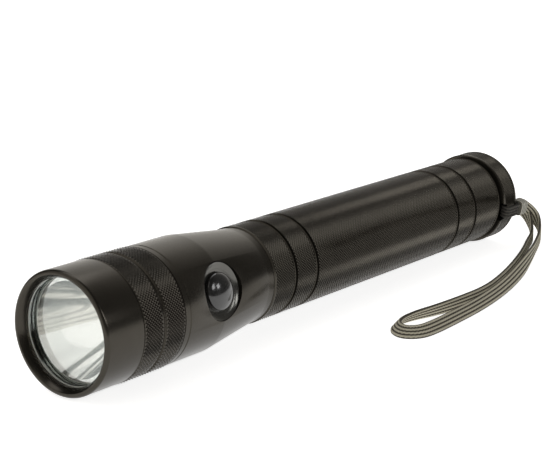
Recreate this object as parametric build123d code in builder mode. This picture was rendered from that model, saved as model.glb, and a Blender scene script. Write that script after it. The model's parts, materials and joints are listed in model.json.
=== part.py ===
"""Handheld flashlight with a side switch, screw-on head and tail cap, and a wrist lanyard.

The light lies on its side on z = 0, resting on the rims of its head and tail cap.
+X is the way the beam leaves, +Z is up, and the switch faces +Y, a little upwards.
The origin is below the middle of the length. All sizes are in millimetres.
Places along the light are stations: the distance back from the front face of the head.
"""
from math import atan, cos, radians, sin, tan
import os

from build123d import *

os.makedirs("parts", exist_ok=True)

# ---------------------------------------------------------------- driving sizes
overall_length = 223.6
head_radius = 18.2
head_band_radius = 18.5
barrel_radius = 15.6
neck_step = 0.4          # the neck is this much thinner than the barrel
flange_step = 0.9        # the tail flange is this much thicker than the barrel

# stations of the outside, front to back
bezel_band_station = 14.7
bezel_groove_station = 23.2
bezel_band_end_station = 32.0
bezel_end_station = 34.1
cone_start_station = 50.0
cone_end_station = 74.0
tube_start_station = 76.7
tube_groove_stations = (87.6, 98.8, 183.6, 195.5)
tube_end_station = 213.1
flange_start_station = 214.4

groove_width = 1.2
groove_depth = 0.7
shoulder_chamfer = 1.0
rim_rounding = 1.1
rim_height = 2.3
rim_slope = 1.2
flange_rounding = 1.0

# clearances
fixed_gap = 0.03        # pieces screwed or pressed together for good
running_gap = 0.08      # screw joints and the switch plunger
soft_gap = 0.3          # a soft or loose piece beside its neighbour

# head inside
lip_radius = 15.5
bezel_bore_radius = 16.3
bezel_lip_thickness = 0.9
lens_radius = 16.1
lens_thickness = 1.4
gasket_thickness = 0.5
reflector_opening_radius = 14.0
reflector_focus = 2.37
reflector_wall = 1.3
reflector_hole_radius = 3.8
reflector_flange_thickness = 1.4
nose_length = 9.6
nose_bore_radius = 14.0

# light source
led_board_radius = 9.4
led_board_thickness = 1.6
led_package_side = 3.6
led_package_thickness = 0.9
led_dome_radius = 1.5
pill_length = 9.4
pill_face_thickness = 3.6
pill_wall = 1.6
driver_thickness = 1.2
retaining_ring_thickness = 1.8

# switch
switch_station = 50.0
switch_angle = 76.5     # from straight up towards +Y
switch_recess_radius = 8.8
switch_recess_floor = 14.3
switch_button_radius = 5.9
switch_button_top = 18.1
switch_button_crown = 1.9
switch_flange_width = 0.9
switch_flange_thickness = 0.8
switch_travel = 1.2
switch_ring_lip = 0.5
switch_hub_radius = 3.8
switch_hub_length = 2.3
carrier_start_station = 41.5
carrier_length = 17.9
module_radius = 5.2
module_top = 10.4
module_height = 5.6
plunger_radius = 1.8
plunger_engagement = 2.4
bus_rod_radius = 1.0
bus_rod_offset = 9.0

# tube and cells
tube_wall = 2.2
front_spigot_length = 9.0
front_spigot_wall = 0.8
tail_thread_length = 8.4
tail_thread_depth = 0.9
cell_clearance = 0.2
cell_nub_radius = 4.0
cell_nub_height = 0.9
cell_edge = 0.6
front_contact_radius = 7.0
front_contact_thickness = 1.0
front_spring_radius = 3.0
front_spring_height = 2.6
front_spring_turns = 1.5
spring_wire = 1.1
tail_spring_radius = 8.0
tail_spring_turns = 4
tail_spring_room = 7.11
plug_length = 8.4
plug_wall = 1.9
plug_pocket_depth = 7.0
tail_contact_clearance = 1.32
tail_contact_thickness = 1.0

# seals
seal_width = 1.6
seal_depth = 0.9
seal_proud = 0.02
seal_setback = 2.4

# lanyard
lanyard_angle = 102.0   # place of its hole round the tail, from straight up towards +Y
strap_width = 4.6
strap_thickness = 1.4
lanyard_hole_inset = 2.0
lanyard_hole_height = 1.9
lanyard_hole_side = 0.5
lanyard_notch_radius = 3.4
anchor_thickness = 1.1
anchor_gap = 0.15
keeper_length = 4.6
keeper_wall = 0.6
leg_spacing = 2.4
corner_reach = 0.45
guide_height = 40.0

# ---------------------------------------------------------------- derived sizes
neck_radius = barrel_radius - neck_step
flange_radius = barrel_radius + flange_step
lanyard_hole_radius = flange_radius - lanyard_hole_inset
tube_bore_radius = barrel_radius - tube_wall
housing_bore_radius = tube_bore_radius
cell_radius = tube_bore_radius - cell_clearance

# The head's band and the flange touch the ground, so the axis climbs a little to the front.
tilt = atan((head_band_radius - flange_radius) / (overall_length - flange_rounding - bezel_band_end_station))
beam = Vector(cos(tilt), 0, sin(tilt))
axis_up = Vector(-sin(tilt), 0, cos(tilt))
tail_height = flange_radius * cos(tilt) - flange_rounding * sin(tilt)
front_point = Vector(overall_length * cos(tilt) / 2, 0, tail_height + overall_length * sin(tilt))
beam_axis = Axis(front_point, beam)

lens_station = rim_height + bezel_lip_thickness + gasket_thickness
reflector_station = lens_station + lens_thickness + fixed_gap
reflector_depth = (reflector_opening_radius ** 2 - reflector_hole_radius ** 2) / (4 * reflector_focus)
reflector_rear_station = reflector_station + reflector_depth
led_board_station = reflector_rear_station + soft_gap + led_package_thickness / 2
pill_station = led_board_station + led_board_thickness + fixed_gap
pill_end_station = pill_station + pill_length
nose_station = bezel_end_station - nose_length
nose_radius = bezel_bore_radius - running_gap
front_spigot_radius = tube_bore_radius + front_spigot_wall
carrier_end_station = carrier_start_station + carrier_length
front_contact_station = carrier_end_station + fixed_gap
front_spring_station = front_contact_station + front_contact_thickness
cell_nub_station = front_spring_station + front_spring_height
first_cell_station = cell_nub_station + cell_nub_height
tail_thread_radius = tube_bore_radius + tail_thread_depth
plug_radius = tail_thread_radius - running_gap
plug_start_station = flange_start_station - plug_length
plug_pocket_radius = plug_radius - plug_wall
plug_floor_station = plug_start_station + plug_pocket_depth
tail_contact_radius = plug_pocket_radius - tail_contact_clearance
tail_contact_station = plug_floor_station - tail_contact_thickness - fixed_gap
cells_end_station = tail_contact_station - tail_spring_room
cell_length = (cells_end_station - first_cell_station - cell_nub_height - fixed_gap) / 2
second_cell_station = cells_end_station - cell_length
switch_flange_radius = switch_button_radius + switch_flange_width
button_foot = switch_recess_floor + fixed_gap
button_shoulder = button_foot + switch_flange_thickness
strap_floor = strap_width / 2 + fixed_gap


def on_axis(station):
    """Point of the beam axis at a station."""
    return front_point - beam * station


def outward(angle):
    """Direction square to the beam axis, at an angle from straight up towards +Y."""
    return axis_up * cos(radians(angle)) + Vector(0, 1, 0) * sin(radians(angle))


switch_axis = Axis(on_axis(switch_station), outward(switch_angle))


def axis_plane(station=0.0, angle=0.0):
    """Plane through the beam axis: local x runs back along the light, local y runs outwards."""
    return Plane(origin=on_axis(station), x_dir=-beam, z_dir=(-beam).cross(outward(angle)))


def radial_plane(station, angle, distance):
    """Plane facing outwards from the beam axis at a distance from it; local x runs back."""
    origin = on_axis(station) + outward(angle) * distance
    return Plane(origin=origin, x_dir=-beam, z_dir=outward(angle))


def cross_plane(station, angle=0.0, distance=0.0):
    """Plane facing back along the light, its local x pointing outwards at an angle."""
    origin = on_axis(station) + outward(angle) * distance
    return Plane(origin=origin, x_dir=outward(angle), z_dir=-beam)


def turned(*outline):
    """Turn a closed outline of (station, radius) points round the beam axis."""
    with BuildSketch(axis_plane()) as profile:
        with BuildLine():
            Polyline(*outline, close=True)
        make_face()
    revolve(profile.sketch, axis=beam_axis)


def turned_cut(*outline):
    """Cut a turned outline out of the part being built."""
    with BuildSketch(axis_plane()) as profile:
        with BuildLine():
            Polyline(*outline, close=True)
        make_face()
    revolve(profile.sketch, axis=beam_axis, mode=Mode.SUBTRACT)


def ring_groove(station, radius):
    """Cut a square groove round the outside, centred on a station."""
    front = station - groove_width / 2
    back = station + groove_width / 2
    turned_cut(
        (front, radius - groove_depth),
        (back, radius - groove_depth),
        (back, radius + 1),
        (front, radius + 1),
    )


def sleeve(front, back, inner, outer):
    """Make a plain round sleeve between two stations."""
    turned((front, inner), (back, inner), (back, outer), (front, outer))


def edges_at(part, station, radius):
    """Round edges of a part that lie at a station and have a given radius."""
    circles = part.edges().filter_by(GeomType.CIRCLE)
    return circles.filter_by(
        lambda edge: (edge.arc_center - on_axis(station)).length < 0.01 and abs(edge.radius - radius) < 0.01
    )


def coil_spring(front, back, radius, turns):
    """Make a round-wire compression spring along the beam axis."""
    wire_radius = spring_wire / 2
    height = back - front - spring_wire
    with BuildLine() as centre_line:
        spring_path = Helix(
            pitch=height / turns,
            height=height,
            radius=radius,
            center=on_axis(back - wire_radius),
            direction=beam,
        )
    with BuildSketch(Plane(origin=spring_path @ 0, z_dir=spring_path % 0)) as wire:
        Circle(wire_radius)
    sweep(wire.sketch, path=centre_line.line, is_frenet=True)


def turned_about_switch(*outline):
    """Turn an outline of (distance from the switch's axis, distance from the beam axis) points."""
    with BuildSketch(axis_plane(switch_station, switch_angle)) as profile:
        with BuildLine():
            Polyline(*outline, close=True)
        make_face()
    revolve(profile.sketch, axis=switch_axis)


def seal_seat(station, radius):
    """Cut the groove of a seal round a spigot."""
    turned_cut(
        (station - seal_width / 2, radius - seal_depth),
        (station + seal_width / 2, radius - seal_depth),
        (station + seal_width / 2, radius + 0.1),
        (station - seal_width / 2, radius + 0.1),
    )


def seal(station, radius):
    """Make the seal that lies in such a groove."""
    half_width = seal_width / 2 - fixed_gap
    sleeve(station - half_width, station + half_width, radius - seal_depth + fixed_gap, radius + seal_proud)


def save(part, name):
    """Label a finished piece and write it."""
    part.label = name
    export_step(part, f"parts/{name}.step")


# ---------------------------------------------------------------- head
with BuildPart() as bezel:
    turned(
        (0, lip_radius + rim_slope),
        (0, head_radius),
        (bezel_band_station, head_radius),
        (bezel_band_station, head_band_radius),
        (bezel_band_end_station, head_band_radius),
        (bezel_band_end_station, head_radius),
        (bezel_end_station - fixed_gap, head_radius),
        (bezel_end_station - fixed_gap, bezel_bore_radius),
        (rim_height + bezel_lip_thickness, bezel_bore_radius),
        (rim_height + bezel_lip_thickness, lip_radius),
        (rim_height, lip_radius),
    )
    fillet(edges_at(bezel, 0, head_radius), rim_rounding)
    ring_groove(bezel_groove_station, head_band_radius)
save(bezel.part, "bezel")

with BuildPart() as lens_gasket:
    sleeve(
        rim_height + bezel_lip_thickness + fixed_gap,
        lens_station - fixed_gap,
        lip_radius + fixed_gap,
        lens_radius,
    )
save(lens_gasket.part, "lens_gasket")

with BuildPart() as lens:
    turned((lens_station, 0), (lens_station + lens_thickness, 0),
           (lens_station + lens_thickness, lens_radius), (lens_station, lens_radius))
    chamfer(lens.edges().filter_by(GeomType.CIRCLE), 0.3)
save(lens.part, "lens")


with BuildPart() as reflector:
    flange_back = reflector_station + reflector_flange_thickness
    flange_outer = lens_radius - soft_gap
    vertex_station = reflector_rear_station + reflector_hole_radius ** 2 / (4 * reflector_focus)
    pull_station = vertex_station - reflector_opening_radius * reflector_hole_radius / (4 * reflector_focus)
    pull_radius = (reflector_opening_radius + reflector_hole_radius) / 2
    mouth = Vector(reflector_station, reflector_opening_radius)
    throat = Vector(reflector_rear_station, reflector_hole_radius)
    pull = Vector(pull_station, pull_radius)
    wall = Vector(0, reflector_wall)
    with BuildSketch(axis_plane()):
        with BuildLine():
            Bezier(mouth, pull, throat)
            Line(throat, throat + wall)
            Bezier(throat + wall, pull + wall, mouth + wall)
            Line(mouth + wall, mouth)
        make_face()
    revolve(axis=beam_axis)
    turned(
        (reflector_station, reflector_opening_radius + reflector_wall / 2),
        (flange_back, reflector_opening_radius + reflector_wall / 2),
        (flange_back, flange_outer),
        (reflector_station, flange_outer),
    )
save(reflector.part, "reflector")

# ---------------------------------------------------------------- switch housing
head_seal_station = bezel_end_station - seal_setback
spigot_end_station = tube_start_station - front_spigot_length
with BuildPart() as switch_housing:
    turned(
        (nose_station, nose_bore_radius),
        (nose_station, nose_radius),
        (bezel_end_station, nose_radius),
        (bezel_end_station, head_radius),
        (cone_start_station, head_radius),
        (cone_end_station, neck_radius),
        (tube_start_station - fixed_gap, neck_radius),
        (tube_start_station - fixed_gap, front_spigot_radius + fixed_gap),
        (spigot_end_station, front_spigot_radius + fixed_gap),
        (spigot_end_station, housing_bore_radius),
        (pill_end_station + fixed_gap, housing_bore_radius),
        (pill_end_station + fixed_gap, nose_bore_radius),
    )
    seal_seat(head_seal_station, nose_radius)
    with BuildSketch(radial_plane(switch_station, switch_angle, switch_recess_floor)):
        Circle(switch_recess_radius)
    extrude(amount=head_radius, mode=Mode.SUBTRACT)
    with BuildSketch(radial_plane(switch_station, switch_angle, 0)):
        Circle(switch_flange_radius + running_gap)
    extrude(amount=head_radius, mode=Mode.SUBTRACT)
save(switch_housing.part, "switch_housing")

with BuildPart() as head_seal:
    seal(head_seal_station, nose_radius)
save(head_seal.part, "head_seal")

# ---------------------------------------------------------------- light source
with BuildPart() as led_board:
    sleeve(led_board_station, led_board_station + led_board_thickness, 0, led_board_radius)
save(led_board.part, "led_board")

with BuildPart() as led_package:
    with BuildSketch(cross_plane(led_board_station - fixed_gap)):
        Rectangle(led_package_side, led_package_side)
    extrude(amount=-led_package_thickness)
    with BuildSketch(cross_plane(led_board_station - fixed_gap - led_package_thickness)):
        Circle(led_dome_radius)
    extrude(amount=-led_dome_radius * 0.8)
    dome_rim = led_package.faces().sort_by(beam_axis)[-1].edges()
    fillet(dome_rim, led_dome_radius * 0.7)
save(led_package.part, "led_package")

with BuildPart() as heat_sink:
    turned(
        (pill_station, 0),
        (pill_station, nose_bore_radius - fixed_gap),
        (pill_end_station, nose_bore_radius - fixed_gap),
        (pill_end_station, nose_bore_radius - fixed_gap - pill_wall),
        (pill_station + pill_face_thickness, nose_bore_radius - fixed_gap - pill_wall),
        (pill_station + pill_face_thickness, 0),
    )
save(heat_sink.part, "heat_sink")

with BuildPart() as heat_sink_ring:
    sleeve(
        pill_station - fixed_gap - retaining_ring_thickness,
        pill_station - fixed_gap,
        led_board_radius + soft_gap,
        nose_bore_radius - fixed_gap,
    )
save(heat_sink_ring.part, "heat_sink_ring")

driver_radius = nose_bore_radius - pill_wall - 3 * fixed_gap
driver_station = pill_station + pill_face_thickness + fixed_gap
with BuildPart() as driver_board:
    sleeve(driver_station, driver_station + driver_thickness, 0, driver_radius)
save(driver_board.part, "driver_board")

bus_rod_start = driver_station + driver_thickness + fixed_gap
with BuildPart() as bus_rod:
    with BuildSketch(cross_plane(bus_rod_start, switch_angle, -bus_rod_offset)):
        Circle(bus_rod_radius)
    extrude(amount=front_contact_station - fixed_gap - bus_rod_start)
save(bus_rod.part, "bus_rod")

# ---------------------------------------------------------------- switch
pocket_radius = switch_flange_radius + soft_gap
hub_foot = button_foot - switch_hub_length
plunger_tip = module_top - plunger_engagement
module_bore_floor = plunger_tip - switch_travel - soft_gap
module_foot = module_top - module_height

with BuildPart() as switch_carrier:
    sleeve(carrier_start_station, carrier_end_station, 0, housing_bore_radius - fixed_gap)
    with BuildSketch(radial_plane(switch_station, switch_angle, module_foot - fixed_gap)):
        Circle(module_radius + fixed_gap)
    extrude(amount=head_radius, mode=Mode.SUBTRACT)
    with BuildSketch(radial_plane(switch_station, switch_angle, module_top)):
        Circle(pocket_radius)
    extrude(amount=head_radius, mode=Mode.SUBTRACT)
    with BuildSketch(cross_plane(carrier_start_station, switch_angle, -bus_rod_offset)):
        Circle(bus_rod_radius + fixed_gap)
    extrude(amount=carrier_length, mode=Mode.SUBTRACT)
save(switch_carrier.part, "switch_carrier")

with BuildPart() as switch_module:
    turned_about_switch(
        (0, module_foot),
        (module_radius, module_foot),
        (module_radius, module_top),
        (plunger_radius + running_gap, module_top),
        (plunger_radius + running_gap, module_bore_floor),
        (0, module_bore_floor),
    )
save(switch_module.part, "switch_module")

with BuildPart() as switch_plunger:
    turned_about_switch(
        (0, plunger_tip),
        (plunger_radius, plunger_tip),
        (plunger_radius, hub_foot - fixed_gap),
        (0, hub_foot - fixed_gap),
    )
save(switch_plunger.part, "switch_plunger")

with BuildPart() as switch_button:
    turned_about_switch(
        (0, hub_foot),
        (switch_hub_radius, hub_foot),
        (switch_hub_radius, button_foot),
        (switch_flange_radius, button_foot),
        (switch_flange_radius, button_shoulder),
        (switch_button_radius, button_shoulder),
        (switch_button_radius, switch_button_top - switch_button_crown),
        (0, switch_button_top - switch_button_crown),
    )
    with BuildSketch(axis_plane(switch_station, switch_angle)):
        with BuildLine():
            crown_centre = (0, switch_button_top - switch_button_crown)
            crown = EllipticalCenterArc(crown_centre, switch_button_radius, switch_button_crown, arc_size=90)
            Polyline(crown @ 1, crown_centre, crown @ 0)
        make_face()
    revolve(axis=switch_axis)
save(switch_button.part, "switch_button")

ring_step = button_shoulder + fixed_gap
ring_top = ring_step + switch_ring_lip
with BuildPart() as switch_retaining_ring:
    turned_about_switch(
        (switch_flange_radius + running_gap, button_foot),
        (switch_recess_radius - fixed_gap, button_foot),
        (switch_recess_radius - fixed_gap, ring_top),
        (switch_button_radius + running_gap, ring_top),
        (switch_button_radius + running_gap, ring_step),
        (switch_flange_radius + running_gap, ring_step),
    )
save(switch_retaining_ring.part, "switch_retaining_ring")

# ---------------------------------------------------------------- tube and cells
with BuildPart() as front_contact:
    sleeve(front_contact_station, front_spring_station - fixed_gap, 0, front_contact_radius)
save(front_contact.part, "front_contact")

with BuildPart() as front_spring:
    coil_spring(front_spring_station, cell_nub_station - fixed_gap, front_spring_radius, front_spring_turns)
save(front_spring.part, "front_spring")

with BuildPart() as battery_tube:
    turned(
        (spigot_end_station + fixed_gap, tube_bore_radius),
        (spigot_end_station + fixed_gap, front_spigot_radius),
        (tube_start_station, front_spigot_radius),
        (tube_start_station, barrel_radius),
        (tube_end_station, barrel_radius),
        (tube_end_station, tail_thread_radius),
        (tube_end_station - tail_thread_length, tail_thread_radius),
        (tube_end_station - tail_thread_length, tube_bore_radius),
    )
    chamfer(edges_at(battery_tube, tube_start_station, barrel_radius), shoulder_chamfer / 2)
    chamfer(edges_at(battery_tube, tube_end_station, barrel_radius), shoulder_chamfer)
    for tube_groove_station in tube_groove_stations:
        ring_groove(tube_groove_station, barrel_radius)
save(battery_tube.part, "battery_tube")

for cell_number, cell_station in enumerate((first_cell_station, second_cell_station), start=1):
    with BuildPart() as cell:
        sleeve(cell_station, cell_station + cell_length, 0, cell_radius)
        chamfer(cell.edges().filter_by(GeomType.CIRCLE), cell_edge)
        sleeve(cell_station - cell_nub_height, cell_station, 0, cell_nub_radius)
    save(cell.part, f"battery_cell_{cell_number}")

# ---------------------------------------------------------------- tail cap
tail_seal_station = tube_end_station - seal_setback
with BuildPart() as tail_cap:
    turned(
        (plug_start_station, plug_pocket_radius),
        (plug_start_station, plug_radius),
        (flange_start_station, plug_radius),
        (flange_start_station, flange_radius),
        (overall_length, flange_radius),
        (overall_length, 0),
        (plug_floor_station, 0),
        (plug_floor_station, plug_pocket_radius),
    )
    fillet(edges_at(tail_cap, overall_length, flange_radius), flange_rounding)
    seal_seat(tail_seal_station, plug_radius)
    with BuildSketch(radial_plane(flange_start_station, lanyard_angle, plug_radius - lanyard_hole_height / 2)):
        Circle(lanyard_notch_radius)
    extrude(amount=flange_radius, mode=Mode.SUBTRACT)
    with BuildSketch(cross_plane(flange_start_station, lanyard_angle, lanyard_hole_radius)):
        Rectangle(lanyard_hole_height, strap_width + 2 * lanyard_hole_side)
    extrude(amount=flange_radius, mode=Mode.SUBTRACT)
save(tail_cap.part, "tail_cap")

with BuildPart() as tail_seal:
    seal(tail_seal_station, plug_radius)
save(tail_seal.part, "tail_seal")

with BuildPart() as tail_contact:
    sleeve(tail_contact_station, tail_contact_station + tail_contact_thickness, 0, tail_contact_radius)
save(tail_contact.part, "tail_contact")

with BuildPart() as tail_spring:
    coil_spring(cells_end_station + fixed_gap, tail_contact_station - fixed_gap,
                tail_spring_radius, tail_spring_turns)
save(tail_spring.part, "tail_spring")

# ---------------------------------------------------------------- lanyard
anchor_inner = lanyard_hole_radius + anchor_thickness / 2
anchor_outer = flange_radius + anchor_gap
notch_reach = (lanyard_notch_radius ** 2 - (strap_width / 2) ** 2) ** 0.5
anchor_front = flange_start_station + notch_reach - anchor_gap
anchor_back = overall_length + anchor_gap
anchor_length = anchor_back - anchor_front
anchor_height = anchor_outer - anchor_inner
with BuildPart() as lanyard_anchor:
    with BuildSketch(axis_plane(0, lanyard_angle)):
        with Locations(((anchor_front + anchor_back) / 2, (anchor_inner + anchor_outer) / 2)):
            RectangleRounded(
                anchor_length + 2 * anchor_thickness,
                anchor_height + 2 * anchor_thickness,
                anchor_thickness,
            )
            Rectangle(anchor_length, anchor_height, mode=Mode.SUBTRACT)
    extrude(amount=strap_width / 2, both=True)
save(lanyard_anchor.part, "lanyard_anchor")

keeper_start = anchor_back + anchor_thickness + fixed_gap
keeper_end = keeper_start + keeper_length
keeper_distance = (anchor_inner + anchor_outer) / 2
with BuildPart() as lanyard_keeper:
    with BuildSketch(cross_plane(keeper_start, lanyard_angle, keeper_distance)):
        RectangleRounded(
            leg_spacing + strap_thickness + 2 * keeper_wall,
            strap_width + 2 * keeper_wall,
            keeper_wall,
        )
    extrude(amount=keeper_length)
save(lanyard_keeper.part, "lanyard_keeper")


def point_at(station, side, height):
    """Point of the lanyard's route: its level distance back from the middle, side and height."""
    return Vector(overall_length / 2 - station, side, height)


keeper_exit = on_axis(keeper_end + fixed_gap) + outward(lanyard_angle) * keeper_distance
near_exit = keeper_exit + outward(lanyard_angle) * leg_spacing / 2
far_exit = keeper_exit - outward(lanyard_angle) * leg_spacing / 2
strap_route = [
    near_exit,
    point_at(231.8, 17.4, 11.2),
    point_at(233.2, 19.4, 8.0),
    point_at(232.0, 22.0, 5.0),
    point_at(227.6, 24.4, 3.0),
    point_at(219.0, 27.9, strap_floor),
    point_at(203.0, 34.1, strap_floor),
    point_at(183.5, 40.5, strap_floor),
    point_at(162.0, 46.2, strap_floor),
    point_at(141.0, 49.3, strap_floor),
    point_at(123.0, 50.1, strap_floor),
    point_at(112.0, 50.4, strap_floor),
    point_at(105.2, 49.6, strap_floor),
    point_at(101.9, 45.6, strap_floor),
    point_at(104.3, 40.9, strap_floor),
    point_at(109.4, 38.4, strap_floor),
    point_at(117.0, 38.9, strap_floor),
    point_at(126.0, 41.8, strap_floor),
    point_at(138.0, 44.0, strap_floor),
    point_at(153.0, 44.6, strap_floor),
    point_at(170.0, 41.2, strap_floor),
    point_at(187.0, 36.4, strap_floor),
    point_at(204.0, 30.6, strap_floor),
    point_at(217.0, 25.2, strap_floor),
    point_at(224.4, 21.9, 2.8),
    point_at(228.6, 19.2, 5.0),
    point_at(230.6, 16.8, 8.2),
    point_at(231.2, 14.9, 11.2),
    far_exit,
]


def corner_radius(before, corner, after):
    """Radius of the arc at a corner of the route, as large as its two runs allow."""
    shorter_run = min((corner - before).length, (after - corner).length)
    half_turn = radians((corner - before).get_angle(after - corner)) / 2
    return corner_reach * shorter_run / tan(half_turn)


corners = zip(strap_route, strap_route[1:], strap_route[2:])
strap_radii = [corner_radius(before, corner, after) for before, corner, after in corners]
print("lanyard arc radii:", [round(radius, 1) for radius in strap_radii])

with BuildPart() as lanyard_strap:
    with BuildLine():
        strap_path = FilletPolyline(strap_route, radius=strap_radii)
        guide_route = [point + Vector(0, 0, guide_height) for point in strap_route]
        strap_guide = FilletPolyline(guide_route, radius=strap_radii, mode=Mode.PRIVATE)
    with BuildSketch(Plane(origin=strap_path @ 0, x_dir=outward(lanyard_angle), z_dir=-beam)):
        Rectangle(strap_thickness, strap_width)
    sweep(path=strap_path, binormal=strap_guide.wire())
strap_volume = strap_width * strap_thickness * strap_path.length
print("lanyard length:", round(strap_path.length, 1))
print("lanyard volume over section times length:", round(lanyard_strap.part.volume / strap_volume, 3))
save(lanyard_strap.part, "lanyard_strap")
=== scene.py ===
"""Handheld flashlight with a side switch, a knurled barrel and a wrist lanyard.

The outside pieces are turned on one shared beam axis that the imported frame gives. Places along
the light are stations: the distance back from the front face of the head. Sizes are in metres.
"""
import json
import logging
import math
from dataclasses import dataclass, field
from enum import Enum
from typing import Any, Callable, Sequence

import bpy
from mathutils import Matrix, Vector


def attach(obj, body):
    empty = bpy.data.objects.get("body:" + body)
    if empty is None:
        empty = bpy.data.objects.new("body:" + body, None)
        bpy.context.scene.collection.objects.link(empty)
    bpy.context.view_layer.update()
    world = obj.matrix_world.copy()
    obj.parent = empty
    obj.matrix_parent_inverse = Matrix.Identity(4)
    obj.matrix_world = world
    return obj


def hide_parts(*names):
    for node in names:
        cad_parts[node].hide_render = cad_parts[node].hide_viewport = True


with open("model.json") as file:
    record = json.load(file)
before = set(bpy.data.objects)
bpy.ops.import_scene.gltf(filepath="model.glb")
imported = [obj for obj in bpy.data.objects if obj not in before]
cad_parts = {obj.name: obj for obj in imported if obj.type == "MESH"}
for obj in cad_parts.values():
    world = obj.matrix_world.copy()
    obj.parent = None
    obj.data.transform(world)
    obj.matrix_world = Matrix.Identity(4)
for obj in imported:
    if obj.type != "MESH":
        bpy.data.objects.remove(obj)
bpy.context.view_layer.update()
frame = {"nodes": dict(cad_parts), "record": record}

LOG = logging.getLogger("flashlight")
MM = 0.001
STITCH = 1.15 * MM
CLOSE = 1e-7
WELD = 2e-6
SNAP = 2e-5
TURN = 2 * math.pi
Pair = tuple[float, float]
Triple = tuple[float, float, float]
Outline = list[Pair]
Piece = bpy.types.Object
Socket = bpy.types.NodeSocket


# ---- the shared axis
@dataclass(frozen=True)
class BeamAxis:
    """The line that the light's turned pieces share.

    Attributes:
        hinge_station: Station of the head hinge's stated point.
    """

    hinge_station: float = 10.0 * MM

    def _hinge(self) -> dict[str, Any]:
        """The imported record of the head's hinge."""
        joints = frame["record"]["behaviour"]["joints"]
        return next(joint for joint in joints if joint["name"] == "head_turn")

    def forward(self) -> Vector:
        """The way the beam leaves."""
        return Vector(self._hinge()["axis"]).normalized()

    def front(self) -> Vector:
        """The middle of the head's front face."""
        return Vector(self._hinge()["pos_m"]) + self.forward() * self.hinge_station

    def lathe_matrix(self) -> Matrix:
        """Placement of a piece turned about local X, with its station as minus x."""
        forward = self.forward()
        side = Vector((0, 1, 0))
        upward = forward.cross(side)
        placed = Matrix((forward, side, upward)).transposed().to_4x4()
        placed.translation = self.front()
        return placed

    def outward(self, angle: float) -> Vector:
        """Direction square to the axis.

        Args:
            angle: Degrees from straight up towards the switch's side.

        Returns:
            A unit vector in the row frame.
        """
        turn = math.radians(angle)
        local = Vector((0, math.sin(turn), math.cos(turn)))
        return self.lathe_matrix().to_3x3() @ local

    def spoke_matrix(self, station: float, angle: float) -> Matrix:
        """Placement of a piece turned about a line square to the beam axis.

        Args:
            station: Where the line meets the beam axis.
            angle: The line's direction, in degrees from straight up.

        Returns:
            A matrix whose local X points outwards along that line.
        """
        outward = self.outward(angle)
        backward = -self.forward()
        placed = Matrix((outward, backward, outward.cross(backward))).transposed().to_4x4()
        placed.translation = self.front() - self.forward() * station
        return placed


AXIS = BeamAxis()


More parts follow.
